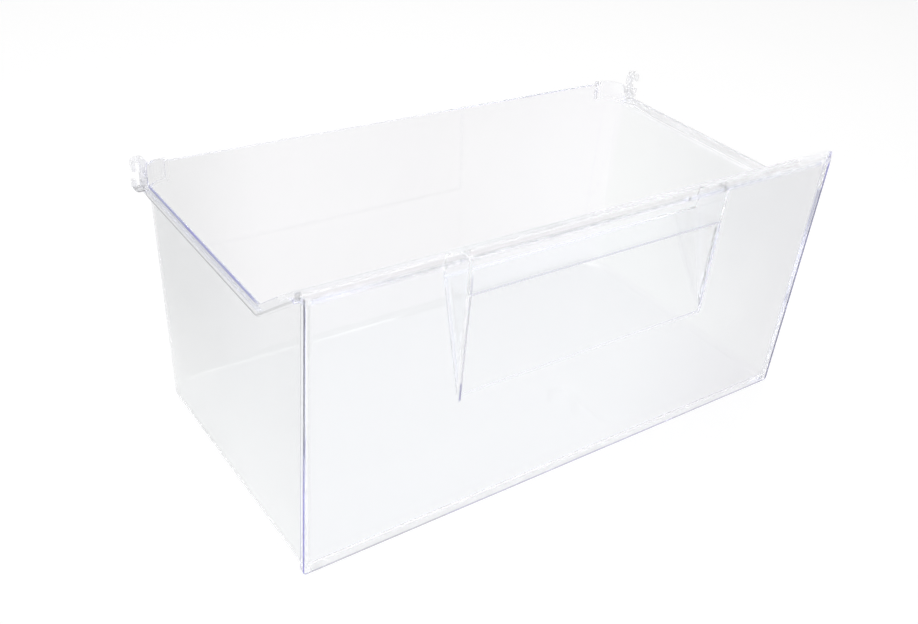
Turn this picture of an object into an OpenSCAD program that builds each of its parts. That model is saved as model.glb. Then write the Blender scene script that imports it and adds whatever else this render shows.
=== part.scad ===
// Lower drawer of a freezer: one clear moulding with a tall front plate, a tub behind it,
// a finger pocket with a grip strip, stepped runner rims along both sides and stops at the rear corners.
// X runs along the front plate, Y from the front to the back, Z up from the flat underside.

/* [Front plate] */
// Width of the front plate
drawer_w = 401; // [340:1:470]
// Height of the front plate over the top of its lip
plate_h = 190.5; // [180:0.5:215]
// Thickness of the front plate
plate_t = 3.3; // [2:0.1:4]
// Radius of the plate's two lower corners
plate_corner_r = 3; // [1:0.5:8]
// Outside radius of the lip that rolls back along the plate's top
lip_r = 4.5; // [4.2:0.1:8]
// Length of the lip's straight tail behind the roll
lip_tail = 20; // [6:0.5:24]
// Thickness of the lip
lip_t = 2.6; // [1.6:0.1:3.5]

/* [Tub] */
// How far the plate's edges stand out past the side walls at the rims
plate_proud = 0.4; // [0.3:0.1:3]
// Depth from the front face to the outside of the back wall at its top edge
tub_d = 218.5; // [170:0.5:300]
// Height of the side rims
rim_h = 158.5; // [145:0.5:170]
// Height of the back wall above the level side rims
back_rise = 7.5; // [1.5:0.5:14]
// Thickness of the side and back walls
wall_t = 2.2; // [1.6:0.1:3]
// Thickness of the floor
floor_t = 2.5; // [1.8:0.1:4]
// Draft angle of the side walls in degrees
side_draft = 0.3; // [0.2:0.1:2]
// Draft angle of the back wall in degrees
back_draft = 3; // [0.5:0.1:5]
// Outside radius of the upright rear corners at the back wall's top edge
corner_r_top = 13; // [8:1:20]
// Outside radius of the upright rear corners at the floor
corner_r_floor = 24; // [18:1:40]
// Outside radius of the edge between the walls and the underside
bottom_r = 7; // [5:0.5:15]
// Radius of the upright corners inside, next to the front plate
front_corner_r = 3; // [1:0.5:6]

/* [Rims] */
// How far the rims step out past the walls
rim_step = 3.5; // [2:0.1:6]
// Thickness of the rims
rim_t = 2.5; // [1.6:0.1:3]
// Height of the stepped band below the rim's top
rim_band_h = 6.5; // [5:0.5:12]
// Angle at which the rims rise to the front plate's lip
rise_angle = 37.5; // [32:0.5:50]
// Fillet radius where the level rims turn up
rise_r = 8; // [3:1:15]
// Distance from the side wall's outside to the rim's end on the back wall
rim_end = 17.1; // [15:0.1:30]

/* [Grip] */
// Distance between the middles of the two cheeks of the finger pocket
grip_w = 200; // [140:1:260]
// Height of the fold where the pocket starts
pocket_z = 92; // [70:1:110]
// Height of the grip strip's lower edge
grip_z = 161; // [145:1:170]
// Depth of the pocket at its top, from the front face to the sloping panel
pocket_d = 23; // [16:0.5:30]
// Height of the sloping panel's top edge above the grip strip's lower edge
panel_lap = 1; // [0:0.5:3]
// Thickness of the sloping panel
panel_t = 2.4; // [1.6:0.1:3]
// Thickness of each cheek
cheek_t = 2.5; // [1.6:0.1:4]

/* [Rear stops] */
// Height of each stop above the level side rims
stop_rise = 19.5; // [16:0.5:26]
// Length of each stop along the rim
stop_len = 5; // [4:0.5:14]
// Distance from the back wall's outside to the stop's rear edge
stop_back = 12.5; // [12:0.5:20]
// Thickness of the upright web of each stop
stop_web_t = 3.6; // [2:0.1:5]
// How far each stop reaches out past the side wall
stop_reach = 11; // [9:0.5:13]
// Thickness of the two hooks of each stop
hook_t = 2.2; // [1.6:0.1:3]
// Length of the upper hook's end that turns down
hook_drop = 8; // [5:0.5:9]
// Length of the lower hook's end that turns up
hook_lift = 5.5; // [4:0.5:9]

/* [Hidden] */

// Steps of one quarter arc
arc_n = 12;
// Overlap that joins two shapes of the moulding
lap = 1;
// Height to which the blanks are drawn before they are cut to the rim line
raw_h = plate_h + lap;

// Heights of the back wall and of the stops
back_h = rim_h + back_rise;
stop_h = rim_h + stop_rise;
// Half width of the back wall between the ends of the two rims
back_half_w = drawer_w / 2 - plate_proud - rim_end;
// Centre height of the lip's roll, and the point where the roll meets the rise
roll_z = plate_h - lip_r;
rise_y = lip_r * (1 + sin(rise_angle));
rise_z = roll_z + lip_r * cos(rise_angle);
// Distance from the front face to the low corner of the rim line
low_y = rise_y + (rise_z - rim_h) / tan(rise_angle);
// Depth of the ledge inside the rim: what the band leaves above its own thickness
ledge_d = rim_band_h - rim_t;
// Pocket panel: its top edge, and its thickness measured along Y
panel_z = grip_z + panel_lap;
panel_y = panel_t / cos(atan(pocket_d / (panel_z - pocket_z)));
window_w = grip_w - cheek_t;
// Stops: front and rear face, and the web's inner face
stop_y1 = tub_d - stop_back;
stop_y0 = stop_y1 - stop_len;
web_x = half_w(rim_h) + rim_step - rim_t / 2;
// Height of each stop's lower hook
hook_z = rim_h - rim_t;
// Overall depth, from the front face to the outside of the rims round the rear corners
overall_d = tub_d + rim_step;

// Outside half width of the tub at height z
function half_w(z) = drawer_w / 2 - plate_proud - (rim_h - z) * tan(side_draft);
// Outside of the back wall at height z
function back_y(z) = tub_d - (back_h - z) * tan(back_draft);
// Outside radius of the rear corners at height z
function corner_r(z) = corner_r_floor + (corner_r_top - corner_r_floor) * z / back_h;

// Points of an arc about c from angle a0 to a1
function arc(c, r, a0, a1, n = arc_n) =
    [for (i = [0 : n]) c + r * [cos(a0 + (a1 - a0) * i / n), sin(a0 + (a1 - a0) * i / n)]];

// Plan outline of the tub: half width hw, front y0, back y1, rear corner radius r, front corner radius rf
function tub_outline(hw, y0, y1, r, rf = 0) = concat(
    rf > 0 ? arc([-hw + rf, y0 + rf], rf, 180, 270) : [[-hw, y0]],
    rf > 0 ? arc([hw - rf, y0 + rf], rf, 270, 360) : [[hw, y0]],
    arc([hw - r, y1 - r], r, 0, 90),
    arc([-hw + r, y1 - r], r, 90, 180));

// Plan outline at height z, moved outwards by grow
function level(z, grow, y0, rf = 0) =
    tub_outline(half_w(z) + grow, y0, back_y(z) + grow, corner_r(z) + grow, rf);

// Heights and insets of the rings that round a bottom edge of radius r, then the top ring
function ring_z(z0, r) = concat([for (i = [0 : arc_n]) z0 + r * (1 - cos(90 * i / arc_n))], [raw_h]);
function ring_inset(r) = concat([for (i = [0 : arc_n]) r * (1 - sin(90 * i / arc_n))], [0]);

// Rim line as [y, z], moved down by d: over the lip's roll, down the rise and along the level rim.
// The top itself climbs to the back wall's height at the stop, and what lies below it stays level.
function rim_line(d) = concat(
    arc([lip_r, roll_z], lip_r - d, 180, 90 - rise_angle),
    arc([low_y + rise_r * tan(rise_angle / 2), rim_h + rise_r], rise_r + d, 270 - rise_angle, 270),
    d > 0 ? [[overall_d + lap, rim_h - d]]
        : [[stop_y0, rim_h], [stop_y0 + back_h - rim_h, back_h], [overall_d + lap, back_h]]);

// Solid through a stack of outlines that all have the same number of points
module loft(outlines, heights) {
    m = len(outlines[0]);
    k = len(outlines);
    points = [for (i = [0 : k - 1]) for (p = outlines[i]) [p[0], p[1], heights[i]]];
    sides = [for (i = [0 : k - 2]) for (j = [0 : m - 1])
        [i * m + j, (i + 1) * m + j, (i + 1) * m + (j + 1) % m, i * m + (j + 1) % m]];
    polyhedron(points, concat([[for (j = [0 : m - 1]) j]], sides, [[for (j = [0 : m - 1]) k * m - 1 - j]]), 4);
}

// Draws a profile given as [y, z] along X, from x0 over the length w
module along_x(x0, w) {
    translate([x0, 0, 0])
        rotate([90, 0, 90])
            linear_extrude(w)
                children();
}

// Both sides of the drawer
module both_sides() {
    children();
    mirror([1, 0, 0]) children();
}

// Outside of the tub
module tub_outside() {
    z = ring_z(0, bottom_r);
    inset = ring_inset(bottom_r);
    loft([for (i = [0 : len(z) - 1]) level(z[i], -inset[i], plate_t / 2)], z);
}

// Inside of the tub
module tub_inside() {
    r = bottom_r - wall_t;
    z = ring_z(floor_t, r);
    inset = ring_inset(r);
    loft([for (i = [0 : len(z) - 1]) level(z[i], -wall_t - inset[i], plate_t + inset[i], front_corner_r)], z);
}

// Upright prism of the rim's plan on one side, moved outwards from the wall by grow, from x0 outwards
module rim_prism(grow, x0, y0) {
    intersection() {
        linear_extrude(raw_h + lap)
            polygon(tub_outline(half_w(rim_h) + grow, y0, tub_d + grow, corner_r_top + grow));
        translate([x0, 0, 0])
            cube([drawer_w, 2 * overall_d, 2 * raw_h]);
    }
}

// Everything between the rim line moved down by d0 and the same line moved down by d1
module rim_zone(d0, d1) {
    upper = rim_line(d0);
    lower = rim_line(d1);
    n = len(lower);
    along_x(-drawer_w, 2 * drawer_w)
        polygon(concat(upper, [for (i = [1 : n]) lower[n - i]]));
}

// Everything above the rim line moved down by d
module rim_above(d) {
    line = rim_line(d);
    along_x(-drawer_w, 2 * drawer_w)
        polygon(concat([[-lap, line[0][1]]], line, [[overall_d + lap, raw_h + 2 * lap], [-lap, raw_h + 2 * lap]]));
}

// What the lip takes up: the rim line's roll and the first part of its rise, as thick as the lip
module lip_zone() {
    c = [lip_r, roll_z];
    tail = lip_tail * [cos(rise_angle), -sin(rise_angle)];
    inner = arc(c, lip_r - lip_t, 180, 90 - rise_angle);
    over = arc(c, lip_r + lap, 180, 90 - rise_angle);
    n = len(over);
    along_x(-drawer_w, 2 * drawer_w)
        polygon(concat(inner, [inner[n - 1] + tail, over[n - 1] + tail], [for (i = [1 : n]) over[n - i]]));
}

// The plate, the tub and the stepped bands of the rims as solid blocks, before anything is cut away
module blanks() {
    translate([-drawer_w / 2, 0, 0])
        cube([drawer_w, plate_t, raw_h]);
    tub_outside();
    both_sides()
        intersection() {
            rim_prism(rim_step, back_half_w, plate_t / 2 + lap);
            rim_zone(-lap, rim_band_h);
        }
}

// What the moulding holds: the tub's inside and the wider space between the two rims, under the lip
module hollow() {
    difference() {
        union() {
            tub_inside();
            both_sides()
                intersection() {
                    rim_prism(rim_step - rim_t, back_half_w + rim_t, plate_t);
                    rim_above(ledge_d);
                }
        }
        lip_zone();
    }
}

// Plate, lip, tub and rims: the blanks hollowed out and cut to the rim line, open at the finger pocket
module shell() {
    difference() {
        blanks();
        hollow();
        rim_above(0);
        translate([-window_w / 2, -lap, pocket_z])
            cube([window_w, plate_t + 2 * lap, grip_z - pocket_z]);
        both_sides()
            plate_corner_cut();
    }
}

// What rounds one lower corner of the plate
module plate_corner_cut() {
    r = plate_corner_r;
    translate([drawer_w / 2 - r, 0, 0])
        difference() {
            translate([0, -lap, -lap])
                cube([r + lap, plate_t + 2 * lap, r + lap]);
            translate([0, -2 * lap, r])
                rotate([-90, 0, 0])
                    cylinder(h = plate_t + 4 * lap, r = r, $fn = 48);
        }
}

// Sloping panel behind the pocket
module pocket_panel() {
    along_x(-grip_w / 2, grip_w)
        polygon([[0, pocket_z], [pocket_d, panel_z], [pocket_d + panel_y, panel_z],
            [panel_y, pocket_z], [panel_y, pocket_z - 2 * lap], [lap / 2, pocket_z - 2 * lap]]);
}

// Cheek that closes one end of the pocket and ties the lip to the panel
module cheek() {
    y_back = pocket_d + panel_y;
    z_lip = rise_z - lip_t / 2;
    y_lip = rise_y + lip_tail * cos(rise_angle) - lap / 2;
    along_x(grip_w / 2 - cheek_t / 2, cheek_t)
        polygon([[lap / 2, pocket_z - lap], [panel_y, pocket_z - lap], [y_back, panel_z],
            [y_lip, z_lip - (y_lip - rise_y) * tan(rise_angle)], [rise_y, z_lip], [lap / 2, roll_z]]);
}

// Stop at the rear of one rim: an upright web with an upper and a lower hook, open to the outside
module stop() {
    x0 = web_x;
    x1 = web_x + stop_web_t;
    x2 = half_w(rim_h) + stop_reach;
    t = hook_t;
    z0 = hook_z;
    z1 = stop_h;
    r = 3;
    translate([0, stop_y1, 0])
        rotate([90, 0, 0])
            linear_extrude(stop_len)
                polygon(concat(
                    [[x0, z0], [x2 - r, z0]],
                    arc([x2 - r, z0 + r], r, 270, 360, 6),
                    [[x2, z0 + t + hook_lift], [x2 - t, z0 + t + hook_lift]],
                    arc([x2 - r, z0 + r], r - t, 360, 270, 6),
                    [[x1, z0 + t], [x1, z1 - t]],
                    arc([x2 - r, z1 - r], r - t, 90, 0, 6),
                    [[x2 - t, z1 - hook_drop], [x2, z1 - hook_drop]],
                    arc([x2 - r, z1 - r], r, 0, 90, 6),
                    [[x0 + r, z1]],
                    arc([x0 + r, z1 - r], r, 90, 180, 6)));
}

// The whole drawer, one moulding
module drawer_body() {
    color([0.87, 0.9, 0.97, 0.45])
        translate([0, -overall_d / 2, 0])
            union() {
                shell();
                pocket_panel();
                both_sides() {
                    cheek();
                    stop();
                }
            }
}

drawer_body();
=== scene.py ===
"""Looks of the freezer drawer: clear moulded plastic on a white table in soft studio light."""

import logging
import math
from dataclasses import dataclass, field
from enum import Enum
from typing import Any, Union

import bpy
from mathutils import Matrix, Vector


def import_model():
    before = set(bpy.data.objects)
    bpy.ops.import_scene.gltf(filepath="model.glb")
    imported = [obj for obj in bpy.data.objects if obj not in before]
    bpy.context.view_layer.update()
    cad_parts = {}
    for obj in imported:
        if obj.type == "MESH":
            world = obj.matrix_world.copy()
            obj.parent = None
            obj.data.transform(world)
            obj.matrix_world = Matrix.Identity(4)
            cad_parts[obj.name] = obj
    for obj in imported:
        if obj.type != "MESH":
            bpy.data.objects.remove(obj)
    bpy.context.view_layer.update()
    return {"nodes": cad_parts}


logging.basicConfig(level=logging.INFO, format="%(message)s")
LOG = logging.getLogger("freezer_drawer")

MM = 0.001
Number = Union[int, float]
Colour = tuple[float, float, float]


class Pattern(Enum):
    """How a noise's coordinates are taken."""

    PLACE = "Object"
    SURFACE = "Generated"


class Socket:
    """A shader value in a graph, on which plain maths can be written."""

    def __init__(self, graph: "Graph", output: bpy.types.NodeSocket) -> None:
        """Keep the graph and the node output that carries the value.

        Args:
            graph: Graph that holds the node.
            output: Output socket with the value.
        """
        self.graph = graph
        self.output = output

    def _maths(self, operation: str, first: Any, second: Any) -> "Socket":
        """Add one Math node.

        Args:
            operation: Blender's name of the operation.
            first: Value or socket for the first input.
            second: Value or socket for the second input.

        Returns:
            The node's result.
        """
        return self.graph.node("ShaderNodeMath", {"operation": operation}, {0: first, 1: second})

    def __add__(self, other: Any) -> "Socket":
        """Sum with another value."""
        return self._maths("ADD", self, other)

    __radd__ = __add__

    def __sub__(self, other: Any) -> "Socket":
        """Difference to another value."""
        return self._maths("SUBTRACT", self, other)

    def __rsub__(self, other: Any) -> "Socket":
        """Difference of another value to this one."""
        return self._maths("SUBTRACT", other, self)

    def __mul__(self, other: Any) -> "Socket":
        """Product with another value."""
        return self._maths("MULTIPLY", self, other)

    __rmul__ = __mul__

    def __truediv__(self, other: Any) -> "Socket":
        """Quotient by another value."""
        return self._maths("DIVIDE", self, other)

    def __pow__(self, other: Any) -> "Socket":
        """Power of this value."""
        return self._maths("POWER", self, other)

    def top(self, other: Any) -> "Socket":
        """Larger one of two values."""
        return self._maths("MAXIMUM", self, other)

    def least(self, other: Any) -> "Socket":
        """Smaller one of two values."""
        return self._maths("MINIMUM", self, other)

    def size(self) -> "Socket":
        """Value without its sign."""
        return self._maths("ABSOLUTE", self, 0.0)

    def rises(self, low: float, high: float) -> "Socket":
        """Smooth step of this value.

        Args:
            low: Value at which the step starts, with result 0.
            high: Value at which it ends, with result 1.

        Returns:
            The step, from 0 to 1.
        """
        return self.graph.node("ShaderNodeMapRange", {"interpolation_type": "SMOOTHSTEP"},
                               {"Value": self, "From Min": low, "From Max": high})

    def falls(self, low: float, high: float) -> "Socket":
        """Smooth step down of this value, from 1 at low to 0 at high."""
        return 1 - self.rises(low, high)

    def within(self, low: float, high: float, soft: float) -> "Socket":
        """Band of this value between two limits, with soft edges."""
        return self.rises(low - soft, low) * self.falls(high, high + soft)


class Graph:
    """Node tree of a material or of the world."""

    def __init__(self, owner: Union[bpy.types.Material, bpy.types.World]) -> None:
        """Empty the owner's node tree and keep it.

        Args:
            owner: Material or world whose nodes are made.
        """
        owner.use_nodes = True
        self.tree = owner.node_tree
        self.tree.nodes.clear()

    def node(self, kind: str, settings: dict[str, Any] | None = None,
             inputs: dict[Any, Any] | None = None, output: Any = 0) -> Socket:
        """Make a node, set it up and feed its inputs.

        Args:
            kind: Blender's node type.
            settings: Properties that are set before the inputs.
            inputs: Values or sockets by input name or number.
            output: Name or number of the output that is returned.

        Returns:
            The chosen output.
        """
        made = self.tree.nodes.new(kind)
        for name, value in (settings or {}).items():
            if name == "stops":
                self._ramp(made, value)
            else:
                setattr(made, name, value)
        for name, value in (inputs or {}).items():
            if isinstance(value, Socket):
                self.tree.links.new(value.output, made.inputs[name])
            else:
                made.inputs[name].default_value = value
        return Socket(self, made.outputs[output]) if len(made.outputs) else Socket(self, None)

    @staticmethod
    def _ramp(made: bpy.types.Node, stops: list[tuple[float, Number]]) -> None:
        """Set the stops of a colour ramp.

        Args:
            made: Colour ramp node.
            stops: Place and grey level of each stop, in order.
        """
        elements = made.color_ramp.elements
        while len(elements) < len(stops):
            elements.new(1.0)
        for element, (place, level) in zip(elements, stops):
            element.position = place
            element.color = (level, level, level, 1.0)

    def ray(self, kind: str) -> Socket:
        """Light Path output of the given name."""
        return self.node("ShaderNodeLightPath", output=kind)

    def mix_colour(self, factor: Any, first: Any, second: Any) -> Socket:
        """Blend two colours.

        Args:
            factor: Share of the second colour.
            first: Colour at factor 0.
            second: Colour at factor 1.

        Returns:
            The blended colour.
        """
        return self.node("ShaderNodeMix", {"data_type": "RGBA"}, {0: factor, 6: first, 7: second}, 2)

    def mix_shader(self, factor: Any, first: Socket, second: Socket) -> Socket:
        """Blend two shaders.

        Args:
            factor: Share of the second shader.
            first: Shader at factor 0.
            second: Shader at factor 1.

        Returns:
            The blended shader.
        """
        return self.node("ShaderNodeMixShader", None, {0: factor, 1: first, 2: second})

    def noise(self, scale: float, detail: float = 2.0, stretch: Colour = (1.0, 1.0, 1.0),
              source: Pattern = Pattern.PLACE) -> Socket:
        """Smooth noise between 0 and 1.

        Args:
            scale: Waves in a metre.
            detail: Number of finer waves on it.
            stretch: Scale along each axis.
            source: Coordinates that it follows.

        Returns:
            The noise value.
        """
        place = self.node("ShaderNodeTexCoord", output=source.value)
        place = self.node("ShaderNodeMapping", None, {"Vector": place, "Scale": stretch})
        return self.node("ShaderNodeTexNoise", None, {"Vector": place, "Scale": scale, "Detail": detail})


@dataclass(frozen=True)
class Shape:
    """Sizes of the moulding that its finish follows, in mm from the plate's front and lower edge."""

    depth: float = 222.0
    plate_half: float = 200.5
    plate_t: float = 3.3
    lip_z: float = 190.5
    lip_end: float = 27.0
    tub_half: float = 200.1
    rim_z: float = 158.5
    rim_in: float = 201.1
    rim_out: float = 203.6
    band_h: float = 6.5
    low_y: float = 47.73
    rise: float = 37.5
    stop_y: float = 201.0
    back_rise: float = 7.5
    window_half: float = 98.75
    window_low: float = 92.0
    window_high: float = 161.0
    cheek_out: float = 101.25
    pocket_d: float = 23.0
    pocket_h: float = 70.0
    panel_y: float = 2.53


class Spot:
    """Shaded point on the moulding: its place in mm and its depth under the rim line."""

    def __init__(self, graph: Graph, shape: Shape) -> None:
        """Read the point from the object's coordinates.

        Args:
            graph: Graph of the material.
            shape: Sizes of the moulding.
        """
        place = graph.node("ShaderNodeTexCoord", output="Object")
        self.x, y, self.z = (graph.node("ShaderNodeSeparateXYZ", None, {0: place}, axis) / MM for axis in range(3))
        self.y = y + shape.depth / 2
        self.side = self.x.size()
        slope = math.tan(math.radians(shape.rise))
        line = (shape.low_y - self.y).top(0.0) * slope + (self.y - shape.stop_y).top(0.0).least(shape.back_rise)
        self.under = (line + shape.rim_z).least(shape.lip_z) - self.z


@dataclass(frozen=True)
class ClearPlastic:
    """Clear moulded polystyrene, tinted violet-blue where light runs far through it, with painted shade on its
    walls, painted light on its lip, right rim and pocket cheeks, painted shade lines on its rims and edges, and a
    faint painted glow.
    """

    name: str = "clear_polystyrene"
    shape: Shape = field(default_factory=Shape)
    ior: float = 1.57
    roughness: float = 0.02
    haze: float = 0.03
    absorbed: Colour = (0.30, 0.32, 0.60)
    density: float = 1.2
    ripple: float = 0.00003
    shadow: Colour = (0.988, 0.989, 0.992)
    plate: Colour = (0.97, 0.978, 0.985)
    # Painted shade: the right of the plate, the side walls, the back wall and the tub's bottom are painted greyer
    # than the plate.
    plate_right_painted_shade: Colour = (0.855, 0.85, 0.865)
    side: Colour = (0.815, 0.825, 0.83)
    side_low_painted_shade: Colour = (0.92, 0.93, 0.925)
    back: Colour = (0.895, 0.89, 0.90)
    back_right_painted_shade: Colour = (0.935, 0.93, 0.945)
    floor_painted_shade: Colour = (0.893, 0.897, 0.904)
    # Painted shade: dark grey mixed in at the rear left corner, on the left wall's rear part, on the back wall's
    # left part and along the back wall's foot.
    corner: Colour = (0.50, 0.51, 0.50)
    # Colours of the painted shade lines along the rims and edges.
    violet: Colour = (0.10, 0.09, 0.46)
    blue_grey: Colour = (0.15, 0.16, 0.42)
    line: Colour = (0.08, 0.08, 0.17)
    grey: Colour = (0.11, 0.11, 0.115)
    # Painted light: the paler tone of the lip's top, the right rim's top band and the pocket's cheeks.
    lip: Colour = (0.975, 0.977, 0.983)
    # Painted glow: the plastic gives off a faint blue-white light that stands in for light caught inside its walls.
    glow: Colour = (0.84, 0.85, 0.94)
    painted_glow_level: float = 0.006

    def walls(self, graph: Graph, spot: Spot) -> Socket:
        """Tone of each wall with painted shade, a little greyer towards the rear left corner and the right, and
        painted paler on the lip, the right rim and the pocket's cheeks.

        Args:
            graph: Graph of the material.
            spot: Shaded point.

        Returns:
            Colour of the plastic with its painted shade and light, before the painted lines are added.
        """
        shape = self.shape
        behind = spot.y.rises(shape.plate_t, shape.plate_t + 0.4)
        # Painted shade: the plate greyer towards the right, the side walls greyer higher up and further back but
        # less so at the right rear, the back wall greyer on the left, the tub's bottom greyer.
        right = spot.x.rises(20.0, 190.0)
        plate = graph.mix_colour(right, (*self.plate, 1.0), (*self.plate_right_painted_shade, 1.0))
        high = 0.65 + 0.35 * spot.y.rises(20.0, 90.0) - 0.8 * right * spot.y.rises(40.0, 200.0)
        side = graph.mix_colour(spot.z.rises(5.0, 140.0) * high, (*self.side_low_painted_shade, 1.0), (*self.side, 1.0))
        back = graph.mix_colour(right, (*self.back, 1.0), (*self.back_right_painted_shade, 1.0))
        tone = graph.mix_colour(behind * spot.side.rises(shape.tub_half - 14, shape.tub_half - 9), plate, side)
        tone = graph.mix_colour(spot.y.rises(shape.stop_y - 6, shape.stop_y + 8), tone, back)
        tone = graph.mix_colour(behind * spot.z.falls(3.0, 9.0), tone, (*self.floor_painted_shade, 1.0))
        # Painted light: the lip's top, the right rim's top band and the pocket's cheeks are painted paler.
        light = spot.z.rises(shape.lip_z - 8, shape.lip_z - 5).top(self.right_rim(spot)).top(
            0.8 * self.cheeks(spot))
        tone = graph.mix_colour(light, tone, (*self.lip, 1.0))
        # Painted shade towards the rear left corner and along the back wall's foot.
        left = spot.x.falls(-shape.tub_half, -shape.tub_half + 16)
        bend = 0.1 * spot.z.within(0.6, 6.5, 1.0) * spot.y.rises(200.0, 204.0)
        rear = 0.13 * left * spot.y.rises(60.0, 145.0)
        back_left = 0.3 * spot.x.falls(-shape.tub_half, -110.0) * spot.y.rises(202.0, 210.0)
        curve = 0.34 * left * spot.y.rises(shape.stop_y - 26, shape.stop_y + 12) * (
            0.35 + 0.65 * spot.z.falls(95.0, 150.0)) * spot.z.rises(5.0, 55.0)
        return graph.mix_colour(bend.top(rear).top(back_left).top(curve), tone, (*self.corner, 1.0))

    def right_rim(self, spot: Spot) -> Socket:
        """Strength of the pale band of painted light along the top of the right side.

        Args:
            spot: Shaded point.

        Returns:
            The strength, from 0 to 1.
        """
        shape = self.shape
        return spot.x.rises(shape.tub_half - 3, shape.tub_half - 1) * spot.under.falls(7.0, 9.0)

    def painted_rim_lines(self, spot: Spot) -> Socket:
        """Strength of the painted violet-blue shade lines along the tops of both side rims, stronger on the left.

        Args:
            spot: Shaded point.

        Returns:
            The strength, from 0 to 1.
        """
        shape = self.shape
        level = spot.y.rises(shape.low_y - 3, shape.low_y + 9) * spot.y.falls(shape.stop_y - 4, shape.stop_y + 6)
        top = spot.under.falls(0.15, 0.5)
        inner = spot.side.within(shape.rim_in - 0.3, shape.rim_in + 1.3, 0.6)
        outer = spot.side.rises(shape.rim_in, shape.rim_in + 0.9) * spot.under.falls(shape.band_h - 1, shape.band_h)
        left = 0.25 + 0.75 * spot.x.falls(-20.0, 20.0)
        return ((top * inner * (0.5 + 0.5 * level)).top(outer * (0.05 + 0.09 * level)) * left
                * spot.y.rises(8.0, 12.0))

    def painted_edge_lines(self, spot: Spot) -> Socket:
        """Strength of the painted grey shade lines on the edges of the plate, the window and the rims.

        Args:
            spot: Shaded point.

        Returns:
            The strength, from 0 to 1.
        """
        shape = self.shape
        half = shape.plate_half
        left = spot.x.falls(-20.0, 20.0)
        front = spot.y.falls(0.3, 0.6)
        rolled = spot.z.rises(shape.lip_z - 14, shape.lip_z - 10) * spot.y.falls(3.0, 5.0) * 0.6
        ends = (spot.x.falls(-half + 0.6, -half + 1.0) * front).top(
            spot.x.rises(half - 2.0, half - 1.5) * front * spot.z.falls(shape.lip_z - 8, shape.lip_z - 4)).top(
            spot.x.rises(half - 0.5, half - 0.2) * rolled)
        heel = spot.side.rises(half - 0.3, half - 0.1) * spot.y.within(
            shape.plate_t - 0.8, shape.plate_t + 0.2, 0.2) * 0.7
        foot = (spot.z.falls(1.0, 1.5) * 0.8).top(spot.z.falls(2.6, 3.2) * 0.05) * front
        strip = spot.z.within(shape.window_high, shape.window_high + 1.2, 0.4) * spot.side.falls(
            shape.window_half, shape.window_half + 0.5) * 0.42
        posts = spot.side.within(shape.window_half, shape.window_half + 1.1, 0.4) * (
            0.4 * left * spot.z.within(shape.window_low + 1, shape.window_high + 10, 5.0)).top(
            0.12 * spot.z.within(shape.window_low + 4, shape.window_high - 2, 3.0))
        band = spot.under.within(shape.band_h - 1.0, shape.band_h + 0.3, 0.2) * spot.side.rises(
            shape.rim_out - 0.5, shape.rim_out - 0.2) * (0.05 + 0.85 * left) * (
            0.5 + 0.5 * spot.y.rises(shape.low_y - 8, shape.low_y + 6))
        web = spot.y.within(204.2, 205.2, 0.3) * spot.side.within(201.5, 203.4, 0.3) * spot.z.within(
            161.0, 166.0, 0.8) * (0.8 * left)
        tip = spot.x.within(-shape.window_half - 1.4, -shape.window_half, 0.3) * spot.z.within(
            shape.window_low - 1, shape.window_low + 9, 3.0) * 0.85
        seam = self.seam(spot).within(-1.1, 0.1, 0.2) * spot.side.rises(
            shape.cheek_out - 0.7, shape.cheek_out - 0.4) * self.cheeks(spot) * (0.32 * left)
        return ends.top(heel).top(foot).top(strip.top(posts).top(tip) * front).top(band).top(web).top(seam)

    def seam(self, spot: Spot) -> Socket:
        """Distance behind the pocket's sloping panel.

        Args:
            spot: Shaded point.

        Returns:
            The distance along Y in mm, positive behind the panel.
        """
        shape = self.shape
        return spot.y - shape.panel_y - (spot.z - shape.window_low) * (shape.pocket_d / shape.pocket_h)

    def cheeks(self, spot: Spot) -> Socket:
        """Strength inside the two cheeks of the finger pocket.

        Args:
            spot: Shaded point.

        Returns:
            The strength, from 0 to 1.
        """
        shape = self.shape
        return spot.side.within(shape.window_half - 0.3, shape.cheek_out + 0.2, 0.3) * spot.y.within(
            shape.plate_t + 0.1, shape.pocket_d + 6, 0.3) * spot.z.rises(shape.window_low - 3, shape.window_low)

    def open_parts(self, spot: Spot) -> Socket:
        """Share of the light that passes straight: lip, stops, back edge, and the underside on the table.

        Args:
            spot: Shaded point.

        Returns:
            The share, from 0 to 1.
        """
        shape = self.shape
        lip = spot.z.rises(shape.lip_z - 8, shape.lip_z - 5) * spot.y.falls(shape.lip_end, shape.lip_end + 4)
        stops = spot.y.rises(shape.stop_y - 1, shape.stop_y + 1) * spot.side.rises(
            shape.tub_half - 1, shape.tub_half) * spot.under.falls(1.0, 3.0)
        back = spot.y.rises(shape.stop_y + 6, shape.stop_y + 9) * spot.under.falls(0.2, 0.6)
        under = spot.z.falls(0.2, 0.4)
        post = spot.x.within(shape.window_half - 0.3, shape.window_half + 1.0, 0.3) * spot.z.within(
            shape.window_low + 3, shape.window_high - 6, 4.0) * spot.y.falls(shape.plate_t, shape.plate_t + 1.0)
        return (0.86 * lip).top(0.65 * stops).top(0.5 * back).top(0.6 * under).top(
            0.5 * self.right_rim(spot)).top(0.6 * post).top(
            self.cheeks(spot) * spot.z.falls(156.0, 164.0) * (0.15 + 0.4 * spot.x.falls(-20.0, 20.0)))

    def material(self) -> bpy.types.Material:
        """Make the material.

        Returns:
            The finished material.
        """
        made = bpy.data.materials.new(self.name)
        graph = Graph(made)
        spot = Spot(graph, self.shape)
        flow = graph.noise(9.0, 0.0, (1.0, 1.0, 0.35))
        handling = graph.noise(24.0, 1.0)
        rough = self.roughness + self.haze * (handling ** 3)
        bump = graph.node("ShaderNodeBump", None,
                          {"Strength": 0.35, "Distance": self.ripple * 10, "Height": flow})
        tone = graph.mix_colour(0.2 * handling, self.walls(graph, spot), (1.0, 1.0, 1.0, 1.0))
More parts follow.
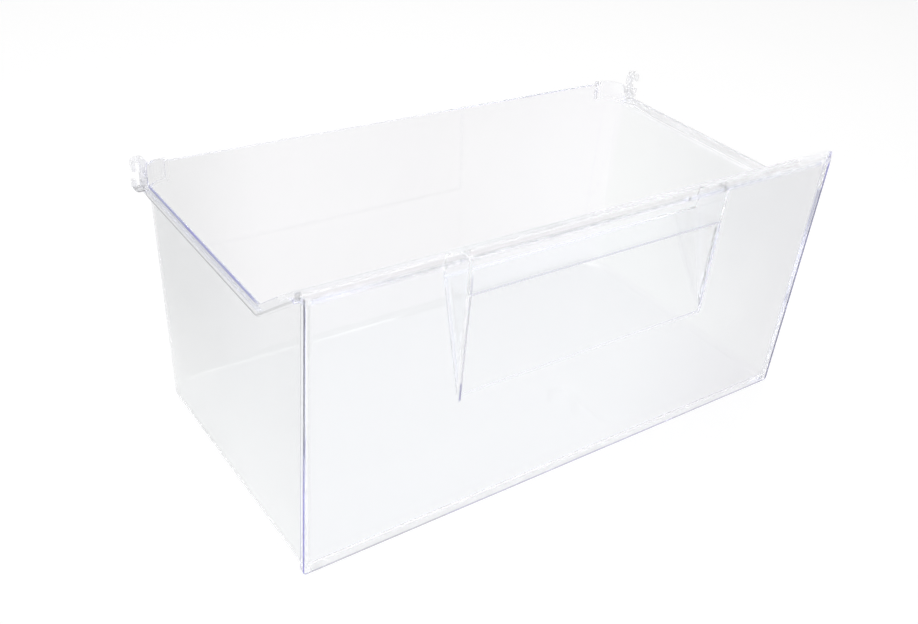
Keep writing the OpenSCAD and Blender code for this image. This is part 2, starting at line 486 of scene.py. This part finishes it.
        # Painted shade lines along the rim tops, violet and blue-grey by turns.
        rim = graph.mix_colour(handling.rises(0.4, 0.6), (*self.violet, 1.0), (*self.blue_grey, 1.0))
        tone = graph.mix_colour(self.painted_rim_lines(spot), tone, rim)
        # Painted shade lines along the edges: dark blue-grey on the right, grey on the left, violet on some edges.
        left = spot.x.falls(-20.0, 20.0)
        tinged = (left * spot.z.falls(40.0, 110.0) + (1 - left) * spot.z.rises(160.0, 182.0)) * spot.side.rises(
            self.shape.plate_half - 3, self.shape.plate_half - 2)
        tinged = tinged.top(0.55 * spot.side.falls(self.shape.cheek_out - 1, self.shape.cheek_out) * spot.y.falls(
            0.3, 0.6)).top(0.25 * spot.z.falls(2.0, 4.0))
        plain = graph.mix_colour(left, (*self.line, 1.0), (*self.grey, 1.0))
        line = graph.mix_colour(tinged, plain, (*self.violet, 1.0))
        lines = self.painted_edge_lines(spot)
        tone = graph.mix_colour(lines, tone, line)
        # The emission is the faint painted glow.
        clear = graph.node("ShaderNodeBsdfPrincipled", None,
                           {"Base Color": tone, "Roughness": rough, "IOR": self.ior,
                            "Transmission Weight": 1.0, "Normal": bump,
                            "Emission Color": (*self.glow, 1.0), "Emission Strength": self.painted_glow_level})
        passed = graph.node("ShaderNodeBsdfTransparent", None, {"Color": (*self.shadow, 1.0)})
        share = self.open_parts(spot) * (1 - lines)
        unseen = graph.ray("Is Shadow Ray").top(graph.ray("Is Diffuse Ray"))
        surface = graph.mix_shader(unseen, graph.mix_shader(share, clear, passed), passed)
        body = graph.node("ShaderNodeVolumeAbsorption", None,
                          {"Color": (*self.absorbed, 1.0), "Density": self.density})
        graph.node("ShaderNodeOutputMaterial", None, {"Surface": surface, "Volume": body})
        return made


@dataclass(frozen=True)
class WhiteTable:
    """White sheet under the drawer, which shows as white beside the drawer's shadow."""

    name: str = "white_table"
    colour: Colour = (0.70, 0.70, 0.70)
    glow: float = 0.385
    roughness: float = 0.5

    def material(self) -> bpy.types.Material:
        """Make the material.

        Returns:
            The finished material.
        """
        made = bpy.data.materials.new(self.name)
        graph = Graph(made)
        grain = graph.noise(3.0, 2.0)
        shade = graph.mix_colour(grain, (*self.colour, 1.0), (0.72, 0.72, 0.72, 1.0))
        sheet = graph.node("ShaderNodeBsdfPrincipled", None,
                           {"Base Color": shade, "Roughness": self.roughness, "Specular IOR Level": 0.3})
        seen = graph.ray("Is Camera Ray").top(graph.ray("Is Glossy Ray")).top(graph.ray("Is Transmission Ray"))
        light = graph.node("ShaderNodeEmission", None, {"Color": (1.0, 1.0, 1.0, 1.0), "Strength": seen * self.glow})
        surface = graph.node("ShaderNodeAddShader", None, {0: sheet, 1: light})
        graph.node("ShaderNodeOutputMaterial", None, {"Surface": surface})
        return made


@dataclass
class Drawer:
    """The drawer itself: one moulding, whose CAD node is dressed in clear plastic."""

    finish: ClearPlastic = field(default_factory=ClearPlastic)
    node: str = "drawer_body"

    def dress(self, nodes: dict[str, bpy.types.Object]) -> bpy.types.Object:
        """Give the moulding its material.

        Args:
            nodes: CAD nodes by name.

        Returns:
            The dressed node.
        """
        body = nodes[self.node]
        material = self.finish.material()
        if not body.material_slots:
            body.data.materials.append(material)
        for slot in body.material_slots:
            slot.material = material
        LOG.info("%s: %s, %d faces", body.name, material.name, len(body.data.polygons))
        return body


@dataclass
class Table:
    """Level table top that the drawer stands on."""

    half_width: float = 9.0
    drop: float = 0.00005
    finish: WhiteTable = field(default_factory=WhiteTable)

    def build(self) -> bpy.types.Object:
        """Make the table top.

        Returns:
            The table top.
        """
        w = self.half_width
        mesh = bpy.data.meshes.new("table_top")
        mesh.from_pydata([(-w, -w, 0.0), (w, -w, 0.0), (w, w, 0.0), (-w, w, 0.0)], [], [(0, 1, 2, 3)])
        top = bpy.data.objects.new("table_top", mesh)
        top.location.z = -self.drop
        bpy.context.scene.collection.objects.link(top)
        mesh.materials.append(self.finish.material())
        LOG.info("%s: %.0f m wide", top.name, 2 * w)
        return top


@dataclass(frozen=True)
class Softbox:
    """One large soft lamp."""

    name: str
    place: Colour
    aim: Colour
    width: float
    height: float
    power: float

    def build(self) -> bpy.types.Object:
        """Hang the lamp and point it.

        Returns:
            The lamp.
        """
        light = bpy.data.lights.new(self.name, "AREA")
        light.shape = "RECTANGLE"
        light.size = self.width
        light.size_y = self.height
        light.energy = self.power
        lamp = bpy.data.objects.new(self.name, light)
        lamp.location = self.place
        lamp.rotation_euler = (Vector(self.aim) - Vector(self.place)).to_track_quat("-Z", "Y").to_euler()
        bpy.context.scene.collection.objects.link(lamp)
        return lamp


@dataclass
class Studio:
    """Soft light from above and the room's even light."""

    room: float = 0.55
    lamps: tuple[Softbox, ...] = (
        Softbox("overhead", (0.0, 0.1, 1.7), (0.0, 0.0, 0.0), 1.8, 1.4, 11.0),
        Softbox("left_fill", (-1.6, -0.5, 1.0), (0.0, 0.0, 0.1), 1.0, 1.0, 3.0),
    )

    def build(self) -> None:
        """Make the world and hang the lamps."""
        world = bpy.data.worlds.new("studio_room")
        bpy.context.scene.world = world
        graph = Graph(world)
        seen = graph.ray("Is Camera Ray").top(graph.ray("Is Transmission Ray")).top(graph.ray("Is Glossy Ray"))
        level = self.room + (1.0 - self.room) * seen
        room = graph.node("ShaderNodeBackground", None, {"Color": (1.0, 1.0, 1.0, 1.0), "Strength": level})
        graph.node("ShaderNodeOutputWorld", None, {"Surface": room})
        for lamp in self.lamps:
            lamp.build()
        LOG.info("studio: %d lamps, room level %.2f", len(self.lamps), self.room)


@dataclass
class PhotoCamera:
    """Camera with the photograph's view."""

    place_mm: Colour = (-399.6, -379.5, 457.2)
    depth_mm: float = 222.0
    azimuth: float = 38.95
    down: float = 32.76
    roll: float = 6.28
    focal_px: float = 1042.6
    centre_px: tuple[float, float] = (477.3, 320.9)
    frame_px: tuple[int, int] = (918, 624)
    sensor_mm: float = 36.0

    def build(self) -> bpy.types.Object:
        """Set the camera up and make it the scene's.

        Returns:
            The camera.
        """
        az, el, ro = (math.radians(a) for a in (self.azimuth, self.down, self.roll))
        ahead = Vector((math.cos(el) * math.sin(az), math.cos(el) * math.cos(az), -math.sin(el)))
        level = Vector((math.cos(az), -math.sin(az), 0.0))
        upright = level.cross(ahead)
        right = math.cos(ro) * level + math.sin(ro) * upright
        up = math.cos(ro) * upright - math.sin(ro) * level
        lens = bpy.data.cameras.new("photo_camera")
        wide, high = self.frame_px
        lens.sensor_width = self.sensor_mm
        lens.lens = self.focal_px * self.sensor_mm / wide
        lens.shift_x = (wide / 2 - self.centre_px[0]) / wide
        lens.shift_y = (self.centre_px[1] - high / 2) / wide
        lens.clip_start = 0.01
        camera = bpy.data.objects.new("photo_camera", lens)
        turn = Matrix((right, up, -ahead)).transposed()
        place = Vector(self.place_mm) * MM - Vector((0.0, self.depth_mm * MM / 2, 0.0))
        camera.matrix_world = Matrix.Translation(place) @ turn.to_4x4()
        bpy.context.scene.collection.objects.link(camera)
        bpy.context.scene.camera = camera
        LOG.info("camera: lens %.2f mm", lens.lens)
        return camera


def follow_light_through_walls(scene: bpy.types.Scene, bounces: int = 120) -> None:
    """Let rays bounce often enough to leave the clear walls again.

    Args:
        scene: Scene to set.
        bounces: Most bounces of one ray.
    """
    scene.cycles.max_bounces = bounces
    scene.cycles.transmission_bounces = bounces
    scene.cycles.glossy_bounces = bounces
    scene.cycles.diffuse_bounces = 3


def main() -> None:
    """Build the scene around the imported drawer."""
    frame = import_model()
    bpy.context.scene.view_settings.view_transform = "Standard"
    follow_light_through_walls(bpy.context.scene)
    PhotoCamera().build()
    Table().build()
    Studio().build()
    Drawer().dress(frame["nodes"])


if __name__ == "__main__":
    main()
